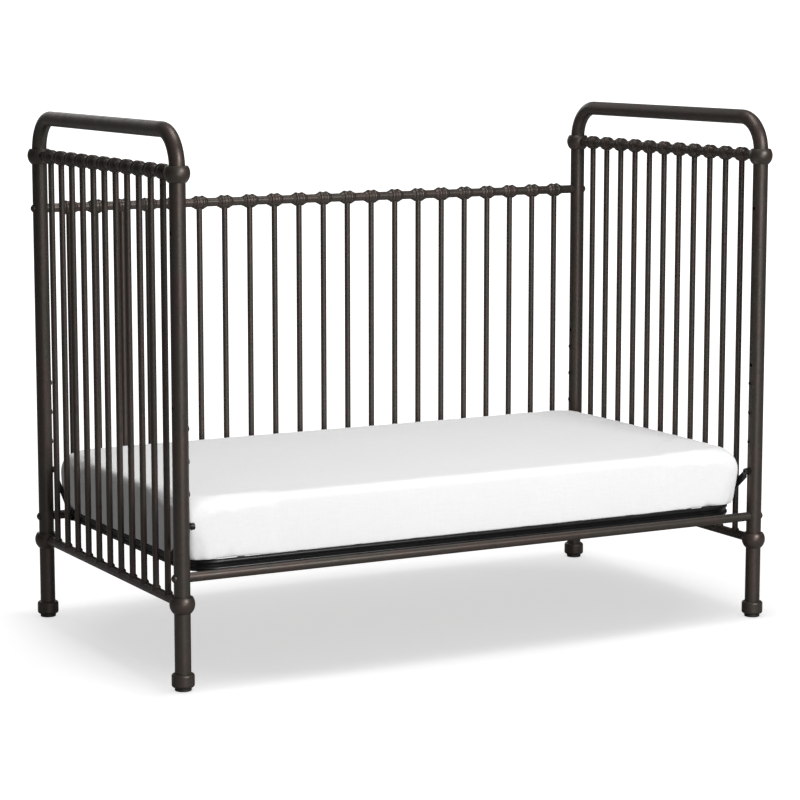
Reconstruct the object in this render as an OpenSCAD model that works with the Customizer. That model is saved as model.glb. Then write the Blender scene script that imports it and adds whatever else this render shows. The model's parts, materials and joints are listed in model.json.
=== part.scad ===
// Baby crib with tubular steel ends, set up as a day bed with its front open.
// Millimetres, +Z up. The origin is on the floor under the middle of the crib.
// X runs along the crib, Y across it, and the open front faces -Y.

/* [Frame] */
// Distance between the post centres along the crib
post_span_x = 1344; // [1320:1:1370]
// Distance between the post centres across the crib
post_span_y = 726; // [715:1:745]
// Outer diameter of the four posts
post_d = 32; // [31:0.5:34]
// Outer diameter of the hoop over each end
hoop_d = 31; // [28:0.5:31.5]
// Height of the hoop's centre line at the top
hoop_z = 1076.5; // [1072:0.5:1100]
// Bend radius of the hoop's centre line
hoop_bend_r = 70; // [50:1:74]
// Outer diameter of every rail
rail_d = 19; // [17:0.5:20]
// Wall thickness of posts, hoops and rails
tube_wall = 1.5; // [1.2:0.1:2]
// Height of the rail that closes each end at the bottom
end_low_z = 170.5; // [150:0.5:175]
// Height of the rail that closes each end at the top
end_top_z = 997; // [990:0.5:1000]
// Height of the front rail and of the back panel's lower rail
long_low_z = 221; // [215:0.5:224]
// Height of the back panel's upper rail
back_top_z = 885; // [870:0.5:900]

/* [Spindles] */
// Outer diameter of a spindle
spindle_d = 12.7; // [10:0.1:14]
// Wall thickness of a spindle
spindle_wall = 1.2; // [1:0.1:1.5]
// Number of spindles in the back panel
back_count = 21; // [19:1:21]
// Distance from a post's centre to the back panel's first spindle
back_edge = 64.6; // [55:0.1:70]
// Number of spindles in each end
end_count = 11; // [9:1:11]
// Distance from a post's centre to an end's first spindle
end_edge = 67.9; // [60:0.1:75]

/* [Castings] */
// Diameter of the ball at each end rail's joint with a post
ball_d = 50; // [46:0.5:54]
// Height at which the ball is cut flat above its centre
ball_above = 14; // [12:0.5:16]
// Height at which the ball is cut flat below its centre
ball_below = 18; // [15:0.5:19]
// Largest diameter of the knuckle over each spindle
knuckle_d = 30.4; // [27:0.1:31]
// Length of a knuckle along its rail
knuckle_l = 35; // [32:0.5:38]
// Diameter of the cap on each foot
foot_cap_d = 45; // [42:0.5:48]
// Height of the top of the foot cap
foot_cap_top = 34; // [30:0.5:40]
// Diameter of the glide under the cap
glide_d = 33; // [28:0.5:36]
// Height of the glide
glide_h = 7; // [5:0.5:8]

/* [Mattress support] */
// Height of the lowest mattress position on the posts
position_z = 320; // [318:0.5:322]
// Distance between two mattress positions
position_pitch = 63.5; // [60:0.5:66]
// Number of mattress positions
position_count = 4; // [3:1:4]
// Height of the holes for a guard rail
guard_z = 550; // [540:1:560]
// Length of the support frame
support_l = 1294; // [1290:1:1296]
// Width of the support frame
support_w = 694; // [688:1:696]
// Outer corner radius of the support frame
support_corner_r = 70; // [60:1:90]
// Height of the middle of the support frame
support_z = 234; // [230:0.5:236]
// Number of wires along the support
long_wires_n = 9; // [7:2:9]
// Number of wires across the support
cross_wires_n = 9; // [7:2:9]

/* [Mattress] */
// Length of the mattress in its sheet
mattress_l = 1302.6; // [1290:0.2:1303]
// Width of the mattress in its sheet
mattress_w = 690.6; // [680:0.2:692]
// Height of the mattress in its sheet
mattress_h = 121.4; // [90:0.2:125]
// Corner radius of the mattress, seen from above
mattress_corner_r = 12; // [8:1:70]

/* [Hidden] */
$fn = 48;
LEFT = -1;
RIGHT = 1;
FRONT = -1;
BACK = 1;
CORNERS = [
    ["left_front", LEFT, FRONT], ["left_back", LEFT, BACK],
    ["right_front", RIGHT, FRONT], ["right_back", RIGHT, BACK]
];
ENDS = [["left", LEFT], ["right", RIGHT]];
CORNER_NODES = ["post", "upper_ball", "lower_ball", "foot_cap", "foot_glide", "hanger"];
END_NODES = ["hoop", "end_top_rail", "end_bottom_rail", "end_spindles", "end_knuckles"];
SINGLE_NODES = [
    "front_rail", "back_top_rail", "back_bottom_rail", "back_spindles", "back_knuckles",
    "rail_end_nuts", "rail_bolts", "saddle_washers", "position_inserts",
    "support_frame", "support_long_wires", "support_cross_wires",
    "support_end_springs", "support_side_springs",
    "hanger_bolts", "hanger_rivets", "hanger_spacers",
    "mattress_core", "fitted_sheet"
];

// frame
hx = post_span_x / 2;
hy = post_span_y / 2;
post_r = post_d / 2;
hoop_r = hoop_d / 2;
rail_r = rail_d / 2;
spindle_r = spindle_d / 2;
ball_r = ball_d / 2;
weld_gap = 0.05;
cut = 1;
long_cut = 60;
back_pitch = (post_span_x - 2 * back_edge) / (back_count - 1);
end_pitch = (post_span_y - 2 * end_edge) / (end_count - 1);
weld_h = 4;
weld_r = rail_r - 0.2;

// knuckles
knuckle_r = knuckle_d / 2;
lobe_r = 5.2;
lobe_offset = 7;
waist_r = knuckle_r - 1.5;
neck_r = rail_r + 0.9;
shoulder_r = rail_r + 3.2;
shoulder_x = 12.4;

// feet
cap_floor_z = glide_h + 5;
cap_edge_r = 5;
glide_edge_r = 1.5;
glide_stem_r = 4;
glide_stem_top = 24;

// fasteners
bolt_r = 4;
bolt_hole_r = 4.25;
bolt_head_r = 7.5;
bolt_head_h = 4.2;
bolt_reach = 35;
socket_w = 5;
socket_depth = 2.6;
washer_r = 8;
washer_h = 1.3;
nut_l = 20;
nut_depth = 17;
nut_r = rail_r - tube_wall - 0.05;
thread_gap = 0.05;
insert_r = 4.55;
insert_hole_r = 4.6;
insert_flange_r = 5.6;
insert_flange_h = 0.8;
insert_l = 12;
insert_bore_r = 3.05;

// mattress support
bead_r = 5.4;
bead_offset = 6.8;
web_w = 5;
sx = support_l / 2;
sy = support_w / 2;
ring_mid_x = sx - bead_r;
ring_mid_y = sy - bead_r;
ring_mid_r = support_corner_r - bead_r;
ring_inner_x = sx - 2 * bead_r;
ring_inner_y = sy - 2 * bead_r;
wire_r = 1.5;
spring_r = 4.5;
long_wire_z = support_z + 6.5;
cross_wire_z = long_wire_z - 2 * wire_r - 0.1;
end_spring_l = 50;
side_spring_l = 40;
spring_gap = 0.1;
long_wire_span = 480;
cross_wire_span = 1040;

// hangers
strap_h = 2.5;
strap_w = 16;
strap_x = hx - post_r - insert_flange_h - 0.6;
hanger_drop = position_z - support_z;
hanger_reach = 104;
hanger_l = sqrt(pow(hanger_drop, 2) + pow(hanger_reach, 2));
hanger_tilt = atan2(hanger_drop, hanger_reach);
hanger_slot_r = 4.3;
hanger_bolt_shoulder_r = 4;
hanger_bolt_r = 3;
hanger_head_r = 7;
hanger_head_h = 6;
hanger_thread_l = 11;
rivet_r = 3;
rivet_hole_r = 3.05;
rivet_head_r = 6;
rivet_head_h = 2;
spacer_r = 7.5;

// mattress
mattress_bottom = support_z + bead_offset + bead_r + 0.2;
sheet_t = 1;
core_gap = 0.2;
sheet_inset = sheet_t + core_gap;
sheet_lip = 50;

function spread(n, span) = [for (i = [0 : n - 1]) -span / 2 + span * i / (n - 1)];
back_xs = [for (i = [0 : back_count - 1]) -hx + back_edge + i * back_pitch];
end_ys = [for (i = [0 : end_count - 1]) -hy + end_edge + i * end_pitch];
position_zs = [for (i = [0 : position_count - 1]) position_z + i * position_pitch];
// the rail bolts: side, y and height of each
RAIL_BOLTS = [
    for (side = [LEFT, RIGHT])
        for (place = [[-hy, long_low_z], [hy, long_low_z], [hy, back_top_z]])
            [side, place[0], place[1]]
];

module bronze() { color([0.23, 0.20, 0.18]) children(); }
module black_steel() { color([0.07, 0.07, 0.07]) children(); }

// cylinders that lie along X or Y, centred on the origin
module rod_x(r, l) { rotate([0, 90, 0]) cylinder(r = r, h = l, center = true); }
module rod_y(r, l) { rotate([90, 0, 0]) cylinder(r = r, h = l, center = true); }
// places children with their own +X pointing out of the crib's left or right side
module facing_out(side, y, z) {
    translate([side * hx, y, z]) rotate([0, 0, side == RIGHT ? 0 : 180]) children();
}
// the space that the posts fill, with room for a weld
module post_space() {
    for (x = [-hx, hx], y = [-hy, hy])
        translate([x, y, -cut]) cylinder(r = post_r + weld_gap, h = hoop_z + 2 * cut);
}

// a post: a tube with its bolt holes and, on the inner wall, the mattress positions
module post(x_side, y_side) {
    through_zs = [long_low_z, guard_z, back_top_z];
    bronze() difference() {
        translate([x_side * hx, y_side * hy, cap_floor_z])
            cylinder(r = post_r, h = end_top_z - cap_floor_z);
        translate([x_side * hx, y_side * hy, cap_floor_z - cut])
            cylinder(r = post_r - tube_wall, h = end_top_z - cap_floor_z + 2 * cut);
        for (z = through_zs)
            translate([x_side * hx, y_side * hy, z]) rod_x(bolt_hole_r, long_cut);
        for (z = position_zs)
            translate([x_side * (hx - post_r), y_side * hy, z]) rod_x(insert_hole_r, post_r);
    }
}

// the ball casting where an end rail meets a post; the tube above may be the thinner hoop
module ball(x_side, y_side, z, r_above) {
    bronze() translate([x_side * hx, y_side * hy, z]) difference() {
        intersection() {
            sphere(r = ball_r, $fn = 64);
            translate([0, 0, -ball_below]) cylinder(r = ball_d, h = ball_above + ball_below);
        }
        translate([0, 0, -ball_d]) cylinder(r = post_r + weld_gap, h = ball_d);
        translate([0, 0, -cut / 10]) cylinder(r = r_above + weld_gap, h = ball_d);
        translate([0, -y_side * ball_d / 2, 0]) rod_y(rail_r + weld_gap, ball_d);
    }
}

// a hoop: two legs, two bends and the bar over one end
module hoop(side) {
    bronze() translate([side * hx, 0, 0]) difference() {
        hoop_solid(hoop_r, 0);
        hoop_solid(hoop_r - tube_wall, cut);
    }
}
module hoop_solid(r, extra) {
    leg_top = hoop_z - hoop_bend_r;
    bar = post_span_y - 2 * hoop_bend_r;
    translate([0, 0, hoop_z]) rod_y(r, bar);
    for (s = [FRONT, BACK]) {
        translate([0, s * hy, end_top_z - extra])
            cylinder(r = r, h = leg_top - end_top_z + extra);
        translate([0, s * bar / 2, leg_top]) rotate([90, 0, 90])
            rotate_extrude(angle = 90, start = s == BACK ? 0 : 90)
                translate([hoop_bend_r, 0]) circle(r = r);
    }
}

// an end's top or bottom rail, coped to the posts
module end_rail(side, z) {
    bronze() difference() {
        translate([side * hx, 0, z]) rod_y(rail_r, post_span_y);
        translate([side * hx, 0, z]) rod_y(rail_r - tube_wall, post_span_y + 2 * cut);
        post_space();
    }
}

// a rail along the crib, coped to the posts
module long_rail(y, z) {
    bronze() difference() {
        translate([0, y, z]) rod_x(rail_r, post_span_x);
        translate([0, y, z]) rod_x(rail_r - tube_wall, post_span_x + 2 * cut);
        post_space();
    }
}

// one spindle from rail to rail, with the weld at its foot
module spindle(z0, z1) {
    difference() {
        union() {
            translate([0, 0, z0]) cylinder(r = spindle_r, h = z1 - z0);
            translate([0, 0, z0]) cylinder(r = weld_r, h = rail_r);
            translate([0, 0, z0 + rail_r]) cylinder(r1 = weld_r, r2 = spindle_r, h = weld_h);
        }
        translate([0, 0, z0 - cut]) cylinder(r = spindle_r - spindle_wall, h = z1 - z0 + 2 * cut);
    }
}
module end_spindles(side) {
    bronze() for (y = end_ys) difference() {
        translate([side * hx, y, 0]) spindle(end_low_z, end_top_z);
        for (z = [end_low_z, end_top_z])
            translate([side * hx, y, z]) rod_y(rail_r + weld_gap, long_cut);
    }
}
module back_spindles() {
    bronze() for (x = back_xs) difference() {
        translate([x, hy, 0]) spindle(long_low_z, back_top_z);
        for (z = [long_low_z, back_top_z])
            translate([x, hy, z]) rod_x(rail_r + weld_gap, long_cut);
    }
}

// a knuckle casting: two lobes with a waist between them, and tapered necks
module knuckle_profile() {
    half = knuckle_l / 2;
    bore = rail_r + weld_gap;
    difference() {
        union() {
            for (s = [-1, 1]) {
                translate([knuckle_r - lobe_r, s * lobe_offset]) circle(r = lobe_r);
                polygon([
                    [0, 0], [shoulder_r, 0], [shoulder_r, s * shoulder_x], [neck_r, s * half],
                    [0, s * half]
                ]);
            }
            translate([0, -lobe_offset]) square([waist_r, 2 * lobe_offset]);
        }
        translate([-cut, -half - cut]) square([bore + cut, knuckle_l + 2 * cut]);
    }
}
// around a rail along Z, with a socket for the spindle on the +X side
module knuckle() {
    difference() {
        rotate_extrude() knuckle_profile();
        rotate([0, 90, 0]) cylinder(r = spindle_r + weld_gap, h = knuckle_d);
    }
}
module end_knuckles(side) {
    bronze() for (y = end_ys)
        translate([side * hx, y, end_top_z]) rotate([90, 0, 0]) rotate([0, 0, -90]) knuckle();
}
module back_knuckles() {
    bronze() for (x = back_xs)
        translate([x, hy, back_top_z]) rotate([0, 90, 0]) knuckle();
}

// the cap over a post's foot, and the glide that plugs into it
module foot_cap(x_side, y_side) {
    r = foot_cap_d / 2;
    e = cap_edge_r;
    bronze() translate([x_side * hx, y_side * hy, 0]) rotate_extrude() difference() {
        union() {
            translate([0, glide_h]) square([r - e, foot_cap_top - glide_h]);
            translate([0, glide_h + e]) square([r, foot_cap_top - glide_h - 2 * e]);
            for (z = [glide_h + e, foot_cap_top - e]) translate([r - e, z]) circle(r = e);
        }
        translate([0, cap_floor_z]) square([post_r + weld_gap, foot_cap_top]);
        square([glide_stem_r + thread_gap, foot_cap_top]);
        translate([-r, 0]) square([r, foot_cap_top + cut]);
    }
}
module foot_glide(x_side, y_side) {
    r = glide_d / 2;
    e = glide_edge_r;
    color([0.05, 0.05, 0.05]) translate([x_side * hx, y_side * hy, 0]) rotate_extrude() {
        square([r - e, glide_h]);
        translate([0, e]) square([r, glide_h - e]);
        intersection() {
            translate([r - e, e]) circle(r = e);
            translate([r - e, 0]) square(e);
        }
        square([glide_stem_r, glide_stem_top]);
    }
}

// a nut fixed inside each bolted end of the long rails
module rail_end_nuts() {
    color([0.6, 0.6, 0.58]) for (b = RAIL_BOLTS) facing_out(b[0], b[1], b[2])
        translate([-nut_depth - nut_l / 2, 0, 0]) difference() {
            rod_x(nut_r, nut_l);
            rod_x(bolt_r + thread_gap, nut_l + 2 * cut);
        }
}
// a saddle washer fits the post on one side and carries the bolt head on the other
module saddle_washers() {
    bronze() for (b = RAIL_BOLTS) facing_out(b[0], b[1], b[2]) difference() {
        rotate([0, 90, 0]) cylinder(r = washer_r, h = post_r + washer_h);
        cylinder(r = post_r + weld_gap, h = long_cut, center = true);
        rod_x(bolt_hole_r, 2 * long_cut);
    }
}
// a domed bolt through the post into the rail's nut
module rail_bolts() {
    dome_r = (pow(bolt_head_r, 2) + pow(bolt_head_h, 2)) / (2 * bolt_head_h);
    seat = post_r + washer_h;
    bronze() for (b = RAIL_BOLTS) facing_out(b[0], b[1], b[2]) difference() {
        union() {
            translate([-bolt_reach, 0, 0]) rotate([0, 90, 0])
                cylinder(r = bolt_r, h = seat + bolt_reach + cut);
            translate([seat, 0, 0]) rotate([0, 90, 0]) intersection() {
                translate([0, 0, bolt_head_h - dome_r]) sphere(r = dome_r);
                cylinder(r = bolt_head_r + cut, h = bolt_head_h + cut);
            }
        }
        translate([seat + bolt_head_h - socket_depth, 0, 0]) rotate([0, 90, 0])
            cylinder(d = socket_w / cos(30), h = bolt_head_h, $fn = 6);
    }
}
// threaded inserts in the posts' inner walls, one at each mattress position
module position_inserts() {
    color([0.2, 0.18, 0.16]) for (side = [LEFT, RIGHT], y = [-hy, hy], z = position_zs)
        facing_out(side, y, z) translate([-post_r, 0, 0]) rotate([0, 90, 0]) difference() {
            union() {
                translate([0, 0, -insert_flange_h])
                    cylinder(r = insert_flange_r, h = insert_flange_h);
                cylinder(r = insert_r, h = insert_l);
            }
            translate([0, 0, -insert_flange_h - cut])
                cylinder(r = insert_bore_r, h = insert_l + insert_flange_h + 2 * cut);
        }
}

// the support frame: a rolled section with two beads, bent into a ring
module ring_section() {
    for (s = [-1, 1]) translate([0, s * bead_offset]) circle(r = bead_r);
    translate([-web_w / 2, -bead_offset]) square([web_w, 2 * bead_offset]);
}
module support_frame() {
    run_x = 2 * (sx - support_corner_r);
    run_y = 2 * (sy - support_corner_r);
    black_steel() translate([0, 0, support_z]) difference() {
        union() {
            for (s = [-1, 1]) {
                translate([0, s * ring_mid_y, 0]) rotate([90, 0, 90])
                    linear_extrude(height = run_x, center = true) ring_section();
                translate([s * ring_mid_x, 0, 0]) rotate([90, 0, 0])
                    linear_extrude(height = run_y, center = true) ring_section();
            }
            for (x_side = [LEFT, RIGHT], y_side = [FRONT, BACK])
                translate([x_side * run_x / 2, y_side * run_y / 2, 0])
                    rotate([0, 0, x_side == RIGHT ? (y_side == BACK ? 0 : 270)
                                                  : (y_side == BACK ? 90 : 180)])
                        rotate_extrude(angle = 90) translate([ring_mid_r, 0]) ring_section();
        }
        for (x_side = [LEFT, RIGHT], y_side = [FRONT, BACK])
            translate([x_side * ring_mid_x, y_side * (hy - hanger_reach), 0])
                rod_x(rivet_hole_r, 4 * bead_r);
    }
}

// the spring deck: wires along and across, each hung on a spring at both ends
module support_long_wires() {
    l = 2 * (ring_inner_x - end_spring_l - 2 * spring_gap);
    black_steel() for (y = spread(long_wires_n, long_wire_span))
        translate([0, y, long_wire_z]) rod_x(wire_r, l);
}
module support_cross_wires() {
    l = 2 * (ring_inner_y - side_spring_l - 2 * spring_gap);
    black_steel() for (x = spread(cross_wires_n, cross_wire_span))
        translate([x, 0, cross_wire_z]) rod_y(wire_r, l);
}
module support_end_springs() {
    mid = ring_inner_x - spring_gap - end_spring_l / 2;
    black_steel() for (s = [-1, 1], y = spread(long_wires_n, long_wire_span))
        translate([s * mid, y, long_wire_z]) rod_x(spring_r, end_spring_l);
}
module support_side_springs() {
    mid = ring_inner_y - spring_gap - side_spring_l / 2;
    black_steel() for (s = [-1, 1], x = spread(cross_wires_n, cross_wire_span))
        translate([x, s * mid, cross_wire_z]) rod_y(spring_r, side_spring_l);
}

// a hanger: a flat strap that hooks over its bolt and slopes down to the support frame
module hanger(x_side, y_side) {
    black_steel() translate([x_side * (strap_x - strap_h / 2), y_side * hy, position_z]) difference() {
        rotate([y_side * hanger_tilt, 0, 0]) {
            rod_x(strap_w / 2, strap_h);
            translate([0, -y_side * hanger_l, 0]) rod_x(strap_w / 2, strap_h);
            translate([0, -y_side * hanger_l / 2, 0]) cube([strap_h, hanger_l, strap_w], center = true);
        }
        rod_x(hanger_slot_r, 2 * strap_h);
        translate([0, 0, -strap_w]) cube([2 * strap_h, 2 * hanger_slot_r, 2 * strap_w], center = true);
        translate([0, -y_side * hanger_reach, -hanger_drop]) rod_x(rivet_hole_r, 2 * strap_h);
    }
}
// a shoulder bolt in each corner post's lowest insert
module hanger_bolts() {
    flange_x = -post_r - insert_flange_h;
    seat_x = strap_x - hx - strap_h - 0.3;
    black_steel() for (side = [LEFT, RIGHT], y = [-hy, hy]) facing_out(side, y, position_z)
        rotate([0, 90, 0]) difference() {
            union() {
                translate([0, 0, flange_x]) cylinder(r = hanger_bolt_r, h = hanger_thread_l);
                translate([0, 0, seat_x])
                    cylinder(r = hanger_bolt_shoulder_r, h = flange_x - seat_x);
                translate([0, 0, seat_x - hanger_head_h])
                    cylinder(r = hanger_head_r, h = hanger_head_h);
            }
            translate([0, 0, seat_x - hanger_head_h - cut])
                cylinder(d = socket_w / cos(30), h = cut + hanger_head_h / 2, $fn = 6);
        }
}
module hanger_rivets() {
    outer_x = strap_x + 0.05;
    inner_x = ring_inner_x - 0.05;
    black_steel() for (side = [LEFT, RIGHT], y_side = [FRONT, BACK])
        translate([0, y_side * (hy - hanger_reach), support_z]) rotate([0, side * 90, 0]) {
            translate([0, 0, inner_x - cut])
                cylinder(r = rivet_r, h = outer_x - inner_x + 2 * cut);
            translate([0, 0, outer_x]) cylinder(r = rivet_head_r, h = rivet_head_h);
            translate([0, 0, inner_x - rivet_head_h]) cylinder(r = rivet_head_r, h = rivet_head_h);
        }
}
module hanger_spacers() {
    black_steel() for (side = [LEFT, RIGHT], y_side = [FRONT, BACK])
        translate([0, y_side * (hy - hanger_reach), support_z]) rotate([0, side * 90, 0])
            difference() {
                translate([0, 0, sx + 0.05])
                    cylinder(r = spacer_r, h = strap_x - strap_h - sx - 0.1);
                cylinder(r = rivet_hole_r, h = hx);
            }
}

// a block with upright rounded corners
module rounded_block(l, w, h, r) {
    linear_extrude(height = h) {
        square([l - 2 * r, w], center = true);
        square([l, w - 2 * r], center = true);
        for (x = [-1, 1], y = [-1, 1])
            translate([x * (l / 2 - r), y * (w / 2 - r)]) circle(r = r);
    }
}
module mattress_core() {
    inset = 2 * sheet_inset;
    color([0.93, 0.92, 0.88]) translate([0, 0, mattress_bottom + sheet_inset])
        rounded_block(
            mattress_l - inset, mattress_w - inset, mattress_h - inset,
            mattress_corner_r - sheet_inset
        );
}
// the sheet wraps the top and sides and turns under the edge
module fitted_sheet() {
    inset = 2 * sheet_t;
    lip = 2 * sheet_lip;
    color([0.96, 0.96, 0.96]) translate([0, 0, mattress_bottom]) difference() {
        rounded_block(mattress_l, mattress_w, mattress_h, mattress_corner_r);
        translate([0, 0, sheet_t]) rounded_block(
            mattress_l - inset, mattress_w - inset, mattress_h - inset,
            mattress_corner_r - sheet_t
        );
        translate([0, 0, -cut]) rounded_block(
            mattress_l - lip, mattress_w - lip, 2 * cut + sheet_t, mattress_corner_r
        );
    }
}

for (corner = CORNERS) {
    name = corner[0];
    x = corner[1];
    y = corner[2];
    post(x, y);
    ball(x, y, end_top_z, hoop_r);
    ball(x, y, end_low_z, post_r);
    foot_cap(x, y);
    foot_glide(x, y);
    hanger(x, y);
}
for (end = ENDS) {
    name = end[0];
    side = end[1];
    hoop(side);
    end_rail(side, end_top_z);
    end_rail(side, end_low_z);
    end_spindles(side);
    end_knuckles(side);
}
long_rail(-hy, long_low_z);  // front_rail
long_rail(hy, back_top_z);  // back_top_rail
long_rail(hy, long_low_z);  // back_bottom_rail
back_spindles();
back_knuckles();
rail_end_nuts();
rail_bolts();
saddle_washers();
position_inserts();
support_frame();
support_long_wires();
support_cross_wires();
support_end_springs();
support_side_springs();
hanger_bolts();
hanger_rivets();
hanger_spacers();
mattress_core();
fitted_sheet();
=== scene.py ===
"""Looks for the baby crib: finishes on the steel frame, a sprung deck, a mattress and its fitted sheet."""

import json
import math
import random

import bmesh
import bpy
import numpy as np
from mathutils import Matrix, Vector

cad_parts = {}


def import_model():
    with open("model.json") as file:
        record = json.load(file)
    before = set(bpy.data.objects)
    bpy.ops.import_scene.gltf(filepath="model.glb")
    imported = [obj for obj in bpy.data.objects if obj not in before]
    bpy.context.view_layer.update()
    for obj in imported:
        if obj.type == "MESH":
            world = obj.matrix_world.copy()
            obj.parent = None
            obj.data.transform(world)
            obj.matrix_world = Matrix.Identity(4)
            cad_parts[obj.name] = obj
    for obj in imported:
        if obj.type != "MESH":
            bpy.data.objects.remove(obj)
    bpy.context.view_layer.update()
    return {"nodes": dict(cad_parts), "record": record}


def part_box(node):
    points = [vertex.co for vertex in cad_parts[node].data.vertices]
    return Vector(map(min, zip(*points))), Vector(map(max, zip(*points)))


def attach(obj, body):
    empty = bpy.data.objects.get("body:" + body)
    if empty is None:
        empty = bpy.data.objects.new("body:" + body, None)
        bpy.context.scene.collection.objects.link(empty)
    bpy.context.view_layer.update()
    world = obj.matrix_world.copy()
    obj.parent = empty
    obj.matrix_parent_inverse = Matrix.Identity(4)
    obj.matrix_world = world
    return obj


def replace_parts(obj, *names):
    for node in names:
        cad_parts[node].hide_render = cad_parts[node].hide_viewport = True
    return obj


MM = 0.001

# stage: the floor's glow and how it rises away from the crib, which leaves a painted shadow of lower glow
# under the crib; the world's strength as light ahead and to the sides, and its strength as seen
FLOOR_HALF = 60
FLOOR_GLOW = 0.57
FLOOR_PAINTED_SHADOW_DEPTH = 0.2
FLOOR_FAR_RISE = 0.4
WORLD_LIGHT = (0.32, 0.05)
WORLD_SEEN = 1.2

# lights: place, the point they face, size and power. Only the one overhead lights the floor
LIGHTS = {
    "key": ((0.8, -4.6, 2.8), (0, 0, 0.6), (2.4, 1.4), 190),
    "fill": ((-0.6, -4.9, 0.7), (0, 0, 0.4), (2.6, 1.0), 50),
    "top": ((0.1, -0.2, 3.6), (0, 0, 0), (1.7, 1.2), 46),
    "back": ((0.6, 4.5, 2.2), (0, 0, 0.6), (3.0, 1.6), 22),
}
LIGHTS_FLOOR = "top"

# camera: where it stands, which way it looks in degrees, its lens in mm and its range
CAMERA_PLACE = (-2.6596, -4.922, 1.2885)
CAMERA_YAW = -28.383
CAMERA_PITCH = -8.287
CAMERA_LENS = 118.57
CAMERA_RANGE = (0.05, 200)

# spring deck: its wires, with an eye at each end, and the coil springs that hook into the eyes
WIRES_EACH_WAY = 9
WIRE_END_GAP = 0.1 * MM
SPRING_WIRE_R = 0.8 * MM
HOOK_R = 3.1 * MM
EYE_R = 3.0 * MM
NECK_NEAR = 1.5 * MM
NECK_FAR = 5 * MM
NECK_BEND = 0.6 * MM
COIL_PITCH = 2.0 * MM
COIL_INSET = 8 * MM
COIL_STEPS = 14
HOOK_STEPS = 14
EYE_STEPS = 16

# mattress and sheet: the slab's roundings
EDGE_TOP = 13 * MM
EDGE_BOTTOM = 5 * MM
EDGE_STEPS = 8
CORNER_STEPS = 14
SIDE_BULGE = 1.5 * MM
CORNER_R = 6 * MM
CORNER_MORE_LOW = 50 * MM
CORNER_MORE_HIGH = 68 * MM
CORNER_LOW_PART = 84 * MM
CORNER_HIGH_PART = 38 * MM
CROWN_DROP = 1.2 * MM
CROWN_REACH = 0.2
SETTLE_HEIGHT = 38 * MM

# the pad inside the sheet
PAD_INSET = Vector((6, 6, 1.5)) * MM
PAD_VOXEL = 12 * MM
PAD_CROWN_DROP = CROWN_DROP + 3 * MM

# the sheet and its flat size
SHEET_INSET = Vector((1.5, 1.5, 0.6)) * MM
SHEET_VOXEL = 7 * MM
SHEET_THICKNESS = 0.8 * MM
SHEET_LIP = 50 * MM
SHEET_LIP_HEIGHT = 12 * MM
FACES_DOWN = -0.6

# the cloth's run: where it has spare cloth, how firmly it is held elsewhere, how far it may move
SPARE_REACH = 0.26
SPARE_GROWTH = 0.06
HELD_MOST = 0.9
HELD_FALL = 2.2
SIM_FRAMES = 20
SIM_CAP = 5 * MM

# gathers: the waves' heights, their shortest and longest lengths, the heights between which
# they fade out, and the corners' reach
FINE_GATHER = 1.1 * MM
FINE_LENGTHS = (0.017, 0.034)
FINE_FADE = (8 * MM, 55 * MM)
BROAD_GATHER = 0.9 * MM
BROAD_LENGTHS = (0.07, 0.15)
BROAD_FADE_START = 20 * MM
GATHER_REACH = 0.22


# shader helpers


def rgb(red, green, blue):
    return (red, green, blue, 1.0)


def put(tree, socket, value):
    """Sets an input to a value, or links it to another node's output."""
    if isinstance(value, bpy.types.NodeSocket):
        tree.links.new(value, socket)
    else:
        socket.default_value = value


def add_node(tree, kind, inputs=None, **settings):
    """A new node. Its inputs are given by name or index, as values or as outputs to link."""
    made = tree.nodes.new(kind)
    for key, value in settings.items():
        setattr(made, key, value)
    for key, value in (inputs or {}).items():
        put(tree, made.inputs[key], value)
    return made


class Shader:
    """A new material with a Principled surface, and short ways to add nodes to it."""

    def __init__(self, name):
        self.material = bpy.data.materials.new(name)
        self.material.use_nodes = True
        self.tree = self.material.node_tree
        self.surface = self.tree.nodes["Principled BSDF"]
        self.place = self.node("ShaderNodeTexCoord").outputs["Object"]

    def node(self, kind, inputs=None, **settings):
        return add_node(self.tree, kind, inputs, **settings)

    def set(self, **inputs):
        """Sets the surface's inputs: Base_Color=..., Roughness=..."""
        for key, value in inputs.items():
            put(self.tree, self.surface.inputs[key.replace("_", " ")], value)

    def stretched(self, scale):
        """The object's own coordinates, scaled along each axis."""
        return self.node("ShaderNodeMapping", {"Vector": self.place, "Scale": scale}).outputs["Vector"]

    def noise(self, scale, detail=2.0, roughness=0.5, distortion=0.0, place=None):
        inputs = {
            "Vector": place or self.place,
            "Scale": scale,
            "Detail": detail,
            "Roughness": roughness,
            "Distortion": distortion,
        }
        return self.node("ShaderNodeTexNoise", inputs).outputs["Fac"]

    def span(self, value, low, high, to_low, to_high):
        """Maps value from low..high to to_low..to_high, and holds it there."""
        inputs = {"Value": value, "From Min": low, "From Max": high, "To Min": to_low, "To Max": to_high}
        return self.node("ShaderNodeMapRange", inputs, clamp=True).outputs["Result"]

    def calc(self, operation, a, b):
        return self.node("ShaderNodeMath", {0: a, 1: b}, operation=operation).outputs[0]

    def mix(self, share, a, b, blend="MIX"):
        """Colour a with a share of b. A Mix node's colours are its inputs 6 and 7, and output 2."""
        inputs = {0: share, 6: a, 7: b}
        return self.node("ShaderNodeMix", inputs, data_type="RGBA", blend_type=blend).outputs[2]

    def bump(self, height, distance, strength=1.0, under=None):
        """A normal from a height; under is the normal of a coarser bump below it."""
        inputs = {"Height": height, "Distance": distance, "Strength": strength}
        if under is not None:
            inputs["Normal"] = under
        return self.node("ShaderNodeBump", inputs).outputs["Normal"]


# materials


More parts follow.
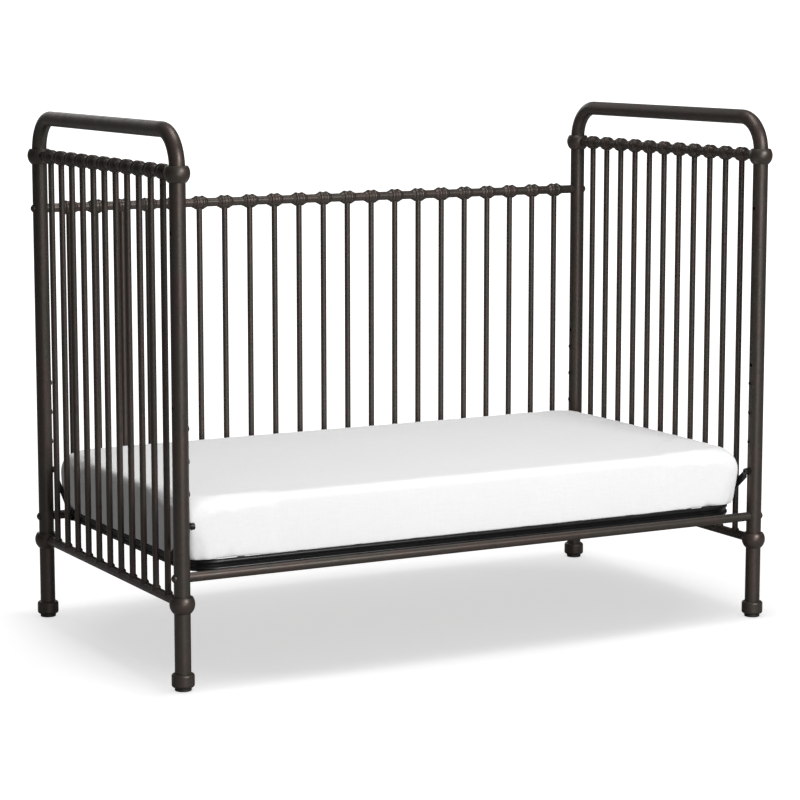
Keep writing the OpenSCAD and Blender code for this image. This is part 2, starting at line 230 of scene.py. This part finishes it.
def bronze_paint():
    """Satin bronze enamel, clouded between a warm brown and a greenish grey."""
    s = Shader("bronze_paint")
    clouds = s.span(s.noise(17, 2, 0.5, 0.3), 0.44, 0.56, 0, 1)
    colour = s.mix(clouds, rgb(0.062, 0.054, 0.046), rgb(0.070, 0.053, 0.046))
    rubbed = s.span(s.noise(120, 6, 0.7), 0.56, 0.72, 0, 0.3)
    colour = s.mix(rubbed, colour, rgb(0.13, 0.112, 0.1))
    grime = s.span(s.noise(48, 5, 0.62, 0.6), 0.3, 0.46, 0.4, 0)
    colour = s.mix(grime, colour, rgb(0.04, 0.032, 0.028))
    flow = s.noise(210, 2)
    grain = s.noise(1500, 3, 0.6)
    s.set(
        Base_Color=colour,
        Metallic=0.6,
        Roughness=s.span(s.noise(34, 4, 0.6), 0.3, 0.7, 0.34, 0.46),
        Specular_IOR_Level=0.35,
        Normal=s.bump(grain, 0.00004, 0.6, s.bump(flow, 0.00025, 0.4)),
    )
    return s.material


def black_steel():
    """Gloss black enamel, with a little dust and small runs in it."""
    s = Shader("black_steel")
    dust = s.span(s.noise(90, 6, 0.7), 0.55, 0.75, 0, 0.35)
    colour = s.mix(dust, rgb(0.004, 0.0042, 0.0046), rgb(0.012, 0.012, 0.012))
    s.set(
        Base_Color=colour,
        Roughness=s.span(s.noise(30, 3, 0.6), 0.3, 0.7, 0.26, 0.34),
        Specular_IOR_Level=0.35,
        Normal=s.bump(s.noise(900, 2), 0.00003, 0.4, s.bump(s.noise(90, 2), 0.0002, 0.3)),
    )
    return s.material


def spring_wire():
    """Drawn steel wire, dulled by its blacking."""
    s = Shader("spring_wire")
    stain = s.span(s.noise(180, 5, 0.65), 0.4, 0.65, 0, 1)
    colour = s.mix(stain, rgb(0.16, 0.16, 0.165), rgb(0.07, 0.066, 0.062))
    s.set(
        Base_Color=colour,
        Metallic=0.9,
        Roughness=s.span(s.noise(400, 4), 0.3, 0.7, 0.3, 0.5),
        Normal=s.bump(s.noise(2600, 2), 0.00002, 0.5),
    )
    return s.material


def zinc_steel():
    """Zinc plating with its faint spangle."""
    s = Shader("zinc_steel")
    spangle = s.node("ShaderNodeTexVoronoi", {"Vector": s.place, "Scale": 700}).outputs["Color"]
    colour = s.mix(0.2, rgb(0.6, 0.59, 0.56), spangle, "SOFT_LIGHT")
    s.set(
        Base_Color=colour,
        Metallic=1.0,
        Roughness=s.span(s.noise(300, 4), 0.3, 0.7, 0.25, 0.42),
        Normal=s.bump(s.noise(1800, 3), 0.00002, 0.5),
    )
    return s.material


def dark_insert():
    """Blackened steel of the threaded inserts, bright where it has been rubbed."""
    s = Shader("dark_insert")
    rub = s.span(s.noise(500, 4, 0.6), 0.5, 0.72, 0, 0.7)
    colour = s.mix(rub, rgb(0.045, 0.04, 0.036), rgb(0.16, 0.14, 0.125))
    s.set(
        Base_Color=colour,
        Metallic=0.7,
        Roughness=s.span(s.noise(240, 3), 0.3, 0.7, 0.35, 0.55),
        Normal=s.bump(s.noise(2000, 2), 0.00002, 0.5),
    )
    return s.material


def glide_plastic():
    """Moulded dark nylon with a fine spark-eroded texture and scuffs."""
    s = Shader("glide_plastic")
    scuff = s.span(s.noise(260, 5, 0.7), 0.55, 0.75, 0, 0.6)
    colour = s.mix(scuff, rgb(0.016, 0.015, 0.014), rgb(0.06, 0.057, 0.053))
    s.set(
        Base_Color=colour,
        Roughness=s.span(s.noise(120, 3), 0.3, 0.7, 0.5, 0.68),
        Normal=s.bump(s.noise(2400, 2), 0.00005, 0.6),
    )
    return s.material


def weave(s, threads):
    """The height of a plain weave, from threads that run along each axis."""
    run = threads * 0.08
    along_x = s.noise(1, 2, place=s.stretched((run, threads, threads)))
    along_y = s.noise(1, 2, place=s.stretched((threads, run, threads)))
    along_z = s.noise(1, 2, place=s.stretched((threads, threads, run)))
    return s.calc("MULTIPLY", s.calc("ADD", s.calc("ADD", along_x, along_y), along_z), 0.34)


def white_sheet():
    """White percale: fine crossing threads with slubs, and a soft sheen."""
    s = Shader("white_sheet")
    threads = weave(s, 1400)
    slubs = weave(s, 420)
    tone = s.mix(s.span(slubs, 0.4, 0.6, 0, 1), rgb(0.80, 0.80, 0.805), rgb(0.84, 0.84, 0.84))
    tone = s.mix(s.span(s.noise(5, 2), 0.35, 0.65, 0, 0.3), tone, rgb(0.79, 0.79, 0.785))
    creases = s.bump(s.noise(12, 3, 0.5, 1.2), 0.0012, 0.3)
    s.set(
        Base_Color=tone,
        Roughness=s.span(threads, 0.4, 0.6, 0.78, 0.92),
        Sheen_Weight=0.15,
        Sheen_Roughness=0.5,
        Specular_IOR_Level=0.25,
        Normal=s.bump(threads, 0.00025, 0.5, s.bump(slubs, 0.0003, 0.3, creases)),
    )
    return s.material


def mattress_ticking():
    """Cream cotton ticking with a fine woven stripe."""
    s = Shader("mattress_ticking")
    threads = weave(s, 900)
    stripe = s.node(
        "ShaderNodeTexWave",
        {"Vector": s.place, "Scale": 30, "Distortion": 0.15, "Detail": 1},
        bands_direction="Y",
    ).outputs["Fac"]
    tone = s.mix(s.span(stripe, 0.82, 0.92, 0, 0.4), rgb(0.78, 0.76, 0.71), rgb(0.6, 0.6, 0.6))
    tone = s.mix(s.span(threads, 0.4, 0.6, 0, 0.35), tone, rgb(0.7, 0.68, 0.63))
    s.set(
        Base_Color=tone,
        Roughness=s.span(threads, 0.4, 0.6, 0.75, 0.92),
        Sheen_Weight=0.1,
        Normal=s.bump(threads, 0.0004, 0.5),
    )
    return s.material


MATERIALS = {
    make.__name__: make()
    for make in (
        bronze_paint,
        black_steel,
        spring_wire,
        zinc_steel,
        dark_insert,
        glide_plastic,
        white_sheet,
        mattress_ticking,
    )
}


def finish_cad_nodes(frame):
    """Gives each CAD node the material of its slot."""
    for part in frame["record"]["subparts"]:
        mesh = frame["nodes"][part["node"]].data
        mesh.materials.clear()
        mesh.materials.append(MATERIALS[part["material_slot"]])


# mesh and curve helpers


def link_piece(name, data, slot):
    """An object in the scene with the material and the name of a record slot."""
    piece = bpy.data.objects.new(name, data)
    bpy.context.scene.collection.objects.link(piece)
    data.materials.clear()
    data.materials.append(MATERIALS[slot])
    return piece


def wires(name, paths, radius, slot):
    """Round wires of one radius along a list of point lists, as one curve object."""
    curve = bpy.data.curves.new(name, "CURVE")
    curve.dimensions = "3D"
    curve.bevel_depth = radius
    curve.bevel_resolution = 2
    curve.use_fill_caps = True
    for path in paths:
        spline = curve.splines.new("POLY")
        spline.points.add(len(path) - 1)
        spline.points.foreach_set("co", [x for p in path for x in (*p, 1.0)])
    return link_piece(name, curve, slot)


def smooth(mesh):
    mesh.polygons.foreach_set("use_smooth", [True] * len(mesh.polygons))


def step(x, low, high):
    """Rises smoothly from 0 at low to 1 at high."""
    t = np.clip((x - low) / (high - low), 0, 1)
    return t * t * (3 - 2 * t)


# spring deck


def spring_path(start, out, length, coil_r):
    """A coil spring from a hook at start to a straight end that enters the support frame."""
    up = Vector((0, 0, 1))
    side = up.cross(out)
    local = []
    hook_centre = SPRING_WIRE_R + HOOK_R
    for i in range(HOOK_STEPS + 1):
        angle = math.radians(300 - 210 * i / HOOK_STEPS)
        local.append((hook_centre + HOOK_R * math.cos(angle), 0, HOOK_R * math.sin(angle)))
    coil_l = length - 2 * COIL_INSET
    turns = round(coil_l / COIL_PITCH)
    steps = turns * COIL_STEPS
    for i in range(steps + 1):
        angle = 2 * math.pi * turns * i / steps
        run = COIL_INSET + coil_l * i / steps
        local.append((run, coil_r * math.sin(angle), coil_r * math.cos(angle)))
    # the last turn comes in to the coil's axis and runs straight on
    for past, height in ((1.2, 0.8), (2.6, 0.35), (4.2, 0.05), (10, 0)):
        local.append((COIL_INSET + coil_l + past * MM, 0, coil_r * height))
    return [start + out * u + side * v + up * w for u, v, w in local]


def eyed_wire_path(end_a, end_b):
    """A straight wire with a round eye turned at each end. The ends are the eyes' centres."""
    along = (end_b - end_a).normalized()
    side = Vector((0, 0, 1)).cross(along)
    path = []
    for centre, sign in ((end_a, 1), (end_b, -1)):
        eye = []
        for i in range(EYE_STEPS + 1):
            angle = math.radians(300 * i / EYE_STEPS)
            offset = sign * (EYE_R * math.sin(angle) * side - EYE_R * math.cos(angle) * along)
            eye.append(centre - offset)
        far = centre + sign * along * (EYE_R + NECK_FAR)
        near = centre + sign * along * (EYE_R + NECK_NEAR) - side * NECK_BEND * sign
        path += [*reversed(eye), near, far] if sign == 1 else [far, near, *eye]
    return path


def spread(low, high, count, thickness):
    """The middles of count equal wires whose outer faces are at low and high."""
    low, high = low + thickness / 2, high - thickness / 2
    return [low + (high - low) * i / (count - 1) for i in range(count)]


def deck(frame):
    """The wires and the coil springs between them and the support frame."""
    for wires_node, springs_node, along, across in (
        ("support_long_wires", "support_end_springs", 0, 1),
        ("support_cross_wires", "support_side_springs", 1, 0),
    ):
        wire_low, wire_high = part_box(wires_node)
        spring_low, spring_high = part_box(springs_node)
        wire_d = wire_high.z - wire_low.z
        spring_d = spring_high.z - spring_low.z
        height = (wire_low.z + wire_high.z) / 2
        inner = wire_high[along] + WIRE_END_GAP
        length = spring_high[along] - inner
        eye = inner + 2 * SPRING_WIRE_R + wire_d / 2 - EYE_R
        coil_r = spring_d / 2 - SPRING_WIRE_R
        wire_paths, spring_paths = [], []
        for place in spread(wire_low[across], wire_high[across], WIRES_EACH_WAY, wire_d):
            ends = []
            for sign in (-1, 1):
                out = Vector((0, 0, 0))
                out[along] = sign
                start = Vector((0, 0, height))
                start[across] = place
                ends.append(start + out * eye)
                spring_paths.append(spring_path(start + out * inner, out, length, coil_r))
            wire_paths.append(eyed_wire_path(*ends))
        stem = wires_node.replace("support_", "")
        made = wires(stem + "_with_eyes", wire_paths, wire_d / 2, "spring_wire")
        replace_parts(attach(made, "support"), wires_node)
        made = wires(springs_node + "_coiled", spring_paths, SPRING_WIRE_R, "spring_wire")
        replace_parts(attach(made, "support"), springs_node)


# mattress and sheet


def outline(half_x, half_y, radius):
    """A rounded rectangle's points, anticlockwise."""
    points = []
    for quarter, (sx, sy) in enumerate(((1, 1), (-1, 1), (-1, -1), (1, -1))):
        for i in range(CORNER_STEPS + 1):
            angle = math.radians(90 * (quarter + i / CORNER_STEPS))
            x = sx * (half_x - radius) + radius * math.cos(angle)
            y = sy * (half_y - radius) + radius * math.sin(angle)
            points.append((x, y))
    return points


def corner_radius(z, low, high):
    """The corner's radius seen from above: small at mid-height, larger at the bottom and the top."""
    lower = max(0, 1 - (z - low) / CORNER_LOW_PART)
    upper = max(0, 1 - (high - z) / CORNER_HIGH_PART)
    return CORNER_R + CORNER_MORE_LOW * lower**2 + CORNER_MORE_HIGH * upper**1.5


def slab(name, low, high):
    """A closed slab with pillow corners, rounded edges and sides that bulge a little."""
    half_x, half_y = (high.x - low.x) / 2, (high.y - low.y) / 2
    middle = (low + high) / 2
    straight = high.z - low.z - EDGE_BOTTOM - EDGE_TOP
    turns = [math.radians(90 * i / EDGE_STEPS) for i in range(EDGE_STEPS + 1)]
    levels = []  # each with its height, and how far it lies in from the sides
    for turn in turns:
        levels.append((low.z + EDGE_BOTTOM * (1 - math.cos(turn)), EDGE_BOTTOM * (1 - math.sin(turn))))
    for i in range(1, EDGE_STEPS):
        levels.append((low.z + EDGE_BOTTOM + straight * i / EDGE_STEPS, 0))
    for turn in turns:
        levels.append((high.z - EDGE_TOP * (1 - math.sin(turn)), EDGE_TOP * (1 - math.cos(turn))))
    b = bmesh.new()
    rings = []
    for z, inset in levels:
        swell = SIDE_BULGE * (1 - math.sin(math.pi * (z - low.z) / (high.z - low.z)))
        pull = inset + swell
        ring = outline(half_x - pull, half_y - pull, corner_radius(z, low.z, high.z))
        rings.append([b.verts.new((middle.x + x, middle.y + y, z)) for x, y in ring])
    count = len(rings[0])
    for lower, upper in zip(rings, rings[1:]):
        for i in range(count):
            j = (i + 1) % count
            b.faces.new((lower[i], lower[j], upper[j], upper[i]))
    b.faces.new(list(reversed(rings[0])))
    b.faces.new(rings[-1])
    mesh = bpy.data.meshes.new(name)
    b.to_mesh(mesh)
    b.free()
    return mesh


def applied(piece):
    """The piece's mesh with its modifiers applied, as a new mesh."""
    bpy.context.view_layer.update()
    graph = bpy.context.evaluated_depsgraph_get()
    return bpy.data.meshes.new_from_object(piece.evaluated_get(graph), depsgraph=graph)


def even_mesh(mesh, voxel):
    """The same closed shape in even faces about one voxel wide."""
    helper = bpy.data.objects.new("even", mesh)
    bpy.context.scene.collection.objects.link(helper)
    remesh = helper.modifiers.new("even", "REMESH")
    remesh.mode = "VOXEL"
    remesh.voxel_size = voxel
    relax = helper.modifiers.new("relax", "SMOOTH")
    relax.iterations = 4
    relax.factor = 0.5
    made = applied(helper)
    bpy.data.objects.remove(helper)
    return made


def points_of(mesh, what="co"):
    """The places of the mesh's vertices, or another vector of each, as rows."""
    values = np.empty(len(mesh.vertices) * 3, np.float32)
    mesh.vertices.foreach_get(what, values)
    return values.reshape(-1, 3).astype(float)


def set_points(mesh, points):
    mesh.vertices.foreach_set("co", points.astype(np.float32).ravel())
    mesh.update()


def from_sides(points, low, high):
    """How far the points lie in from the nearest side, along x and along y."""
    dx = np.minimum(points[:, 0] - low.x, high.x - points[:, 0])
    dy = np.minimum(points[:, 1] - low.y, high.y - points[:, 1])
    return dx, dy


def near_corner(points, low, high, reach):
    """1 at an upright corner of the box, falling to 0 at reach from it."""
    return 1 - step(np.hypot(*from_sides(points, low, high)), 0.25 * reach, reach)


def simulate(mesh, low, high):
    """Cloth drawn over the slab: tight on its faces, with spare cloth near the corners.

    No vertex ends up further than SIM_CAP from where it started.
    """
    start = points_of(mesh)
    piece = bpy.data.objects.new("cloth_run", mesh)
    bpy.context.scene.collection.objects.link(piece)
    spare = near_corner(start, low, high, SPARE_REACH)
    held = piece.vertex_groups.new(name="held")
    loose = piece.vertex_groups.new(name="loose")
    for i, value in enumerate(spare):
        loose.add([i], float(value), "REPLACE")
        held.add([i], float(max(0.0, HELD_MOST - HELD_FALL * value)), "REPLACE")
    cloth = piece.modifiers.new("cloth", "CLOTH")
    settings = cloth.settings
    settings.quality = 5
    settings.mass = 0.2
    settings.tension_stiffness = 25
    settings.compression_stiffness = 25
    settings.shear_stiffness = 8
    settings.bending_stiffness = 0.05
    settings.vertex_group_mass = "held"
    settings.pin_stiffness = 1.5
    settings.vertex_group_shrink = "loose"
    settings.shrink_min = 0.0
    settings.shrink_max = -SPARE_GROWTH
    settings.use_pressure = True
    settings.uniform_pressure_force = 3
    settings.effector_weights.gravity = 0
    cloth.collision_settings.use_collision = False
    for number in range(1, SIM_FRAMES + 1):
        bpy.context.scene.frame_set(number)
    made = applied(piece)
    moved = points_of(made) - start
    bpy.data.objects.remove(piece)
    bpy.context.scene.frame_set(1)
    size = np.linalg.norm(moved, axis=1)
    share = np.minimum(1, SIM_CAP / np.maximum(size, 1e-9))
    set_points(made, start + moved * share[:, None])
    return made


def ripple(s, seed, shortest, longest):
    """A smooth irregular wave along s, about -1 to 1."""
    draw = random.Random(seed)
    total = np.zeros_like(s)
    for _ in range(9):
        length = draw.uniform(shortest, longest)
        total += np.sin(2 * math.pi * s / length + draw.uniform(0, 2 * math.pi))
    return total / 3.2


def gather(mesh, low, high):
    """The elastic hem's gathers: ripples that fade out up the sides and grow at the corners."""
    points = points_of(mesh)
    normals = points_of(mesh, "normal")
    half_x, half_y = (high.x - low.x) / 2, (high.y - low.y) / 2
    angle = np.arctan2(points[:, 1] / half_y, points[:, 0] / half_x)
    run = angle / (2 * math.pi) * 4 * (half_x + half_y)
    corner = near_corner(points, low, high, GATHER_REACH)
    fade_from, fade_to = FINE_FADE
    fine_fade = 1 - step(points[:, 2], low.z + fade_from, low.z + fade_to)
    broad_fade = 1 - step(points[:, 2], low.z + BROAD_FADE_START, high.z)
    fine = ripple(run, 3, *FINE_LENGTHS) * fine_fade * (0.45 + 0.9 * corner)
    broad = ripple(run, 11, *BROAD_LENGTHS) * broad_fade
    amount = FINE_GATHER * fine + BROAD_GATHER * broad * (0.3 + corner)
    points += normals * amount[:, None]
    set_points(mesh, points)


def crown(mesh, low, high, drop):
    """Lowers the top towards its edges, so that it is very slightly domed."""
    points = points_of(mesh)
    edge = 1 - step(np.minimum(*from_sides(points, low, high)), 0, CROWN_REACH)
    upper = step(points[:, 2], (low.z + high.z) / 2, high.z)
    points[:, 2] -= drop * edge * upper
    set_points(mesh, points)


def open_underneath(mesh, low, high):
    """Cuts the sheet away under the mattress, and leaves the lip that turns under it."""
    b = bmesh.new()
    b.from_mesh(mesh)
    gone = []
    for face in b.faces:
        c = face.calc_center_median()
        inside = min(c.x - low.x, high.x - c.x, c.y - low.y, high.y - c.y) > SHEET_LIP
        if inside and c.z < low.z + SHEET_LIP_HEIGHT and face.normal.z < FACES_DOWN:
            gone.append(face)
    bmesh.ops.delete(b, geom=gone, context="FACES")
    b.to_mesh(mesh)
    b.free()


def settle(mesh, low):
    """Draws the lowest cloth down, so that the edge sits close on the support frame."""
    points = points_of(mesh)
    height = np.maximum(points[:, 2] - low.z, 0)
    points[:, 2] = low.z + height * step(height, 0, SETTLE_HEIGHT) ** 3
    set_points(mesh, points)


def keep_inside(mesh, low, high):
    """Moves any point that is outside the box onto it."""
    points = points_of(mesh)
    set_points(mesh, np.clip(points, np.array(low), np.array(high)))


def fitted_sheet():
    low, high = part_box("fitted_sheet")
    mesh = slab("fitted_sheet_start", low + SHEET_INSET, high - SHEET_INSET)
    mesh = even_mesh(mesh, SHEET_VOXEL)
    crown(mesh, low, high, CROWN_DROP)
    mesh = simulate(mesh, low, high)
    gather(mesh, low, high)
    open_underneath(mesh, low, high)
    settle(mesh, low)
    keep_inside(mesh, low, high)
    smooth(mesh)
    piece = link_piece("fitted_sheet_cloth", mesh, "white_sheet")
    finer = piece.modifiers.new("finer", "SUBSURF")
    finer.levels = finer.render_levels = 1
    body = piece.modifiers.new("body", "SOLIDIFY")
    body.thickness = SHEET_THICKNESS
    body.offset = -1
    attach(piece, "mattress")
    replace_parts(piece, "fitted_sheet")
    return piece


def mattress():
    low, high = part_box("mattress_core")
    mesh = slab("mattress_pad_start", low + PAD_INSET, high - PAD_INSET)
    mesh = even_mesh(mesh, PAD_VOXEL)
    crown(mesh, low, high, PAD_CROWN_DROP)
    settle(mesh, low + PAD_INSET)
    smooth(mesh)
    piece = link_piece("mattress_pad", mesh, "mattress_ticking")
    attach(piece, "mattress")
    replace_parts(piece, "mattress_core")


# stage


def floor():
    """A white floor: it glows for the camera, and more so away from the crib, so that the lower glow under
    the crib is a painted shadow.
    """
    mesh = bpy.data.meshes.new("floor")
    corners = [(x * FLOOR_HALF, y * FLOOR_HALF, 0) for x, y in ((-1, -1), (1, -1), (1, 1), (-1, 1))]
    mesh.from_pydata(corners, [], [(0, 1, 2, 3)])
    s = Shader("floor_white")
    # painted shadow: inside this oval round the crib the glow stays lower, and it rises past the oval's
    # edge
    painted_shadow_oval = s.stretched((0.75, 1.2, 1))
    near = s.node("ShaderNodeVectorMath", {0: painted_shadow_oval}, operation="LENGTH").outputs["Value"]
    far = s.node("ShaderNodeVectorMath", {0: s.place}, operation="LENGTH").outputs["Value"]
    painted_shadow_lift = s.span(near, 0.5, 0.8, 0, FLOOR_PAINTED_SHADOW_DEPTH)
    far_rise = s.span(far, 1.2, 4, 0, FLOOR_FAR_RISE)
    glow = s.calc("ADD", s.calc("ADD", painted_shadow_lift, far_rise), FLOOR_GLOW)
    seen = s.node("ShaderNodeLightPath").outputs["Is Camera Ray"]
    s.set(
        Base_Color=rgb(0.8, 0.8, 0.8),
        Roughness=0.9,
        Specular_IOR_Level=0.0,
        Emission_Color=rgb(1, 1, 1),
        Emission_Strength=s.calc("MULTIPLY", glow, seen),
    )
    mesh.materials.append(s.material)
    piece = bpy.data.objects.new("floor", mesh)
    bpy.context.scene.collection.objects.link(piece)
    return piece


def world():
    """White behind the floor; as light, a soft white that is darker towards the sides."""
    made = bpy.data.worlds.new("studio")
    made.use_nodes = True
    tree = made.node_tree
    tree.nodes.clear()
    direction = add_node(tree, "ShaderNodeTexCoord").outputs["Generated"]
    x = add_node(tree, "ShaderNodeSeparateXYZ", {"Vector": direction}).outputs["X"]
    sideways = add_node(tree, "ShaderNodeMath", {0: x}, operation="ABSOLUTE").outputs[0]
    ahead, aside = WORLD_LIGHT
    inputs = {"Value": sideways, "From Min": 0.1, "From Max": 0.9, "To Min": ahead, "To Max": aside}
    strength = add_node(tree, "ShaderNodeMapRange", inputs).outputs["Result"]
    light, seen = (
        add_node(tree, "ShaderNodeBackground", {"Color": rgb(1, 1, 1), "Strength": value}).outputs[0]
        for value in (strength, WORLD_SEEN)
    )
    to_camera = add_node(tree, "ShaderNodeLightPath").outputs["Is Camera Ray"]
    mix = add_node(tree, "ShaderNodeMixShader", {0: to_camera, 1: light, 2: seen}).outputs[0]
    add_node(tree, "ShaderNodeOutputWorld", {"Surface": mix})
    bpy.context.scene.world = made


def softbox(name, place, target, size, power, spared):
    """A rectangular light that faces target. It doesn't light what the collection spared excludes."""
    light = bpy.data.lights.new(name, "AREA")
    light.shape = "RECTANGLE"
    light.size, light.size_y = size
    light.energy = power
    made = bpy.data.objects.new(name, light)
    bpy.context.scene.collection.objects.link(made)
    made.location = place
    made.rotation_euler = (Vector(target) - Vector(place)).to_track_quat("-Z", "Y").to_euler()
    if spared:
        made.light_linking.receiver_collection = spared


def lights(ground):
    """Only the overhead light falls on the floor, so the crib's one shadow lies right under it."""
    spared = bpy.data.collections.new("spared")
    spared.objects.link(ground)
    spared.collection_objects[0].light_linking.link_state = "EXCLUDE"
    for name, setting in LIGHTS.items():
        softbox(name, *setting, None if name == LIGHTS_FLOOR else spared)


def camera():
    data = bpy.data.cameras.new("camera")
    data.lens = CAMERA_LENS
    data.clip_start, data.clip_end = CAMERA_RANGE
    made = bpy.data.objects.new("camera", data)
    bpy.context.scene.collection.objects.link(made)
    made.location = CAMERA_PLACE
    made.rotation_euler = (math.radians(90 + CAMERA_PITCH), 0, math.radians(CAMERA_YAW))
    bpy.context.scene.camera = made


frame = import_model()
bpy.context.scene.view_settings.view_transform = "Standard"
camera()
world()
lights(floor())
finish_cad_nodes(frame)
deck(frame)
mattress()
sheet = fitted_sheet()
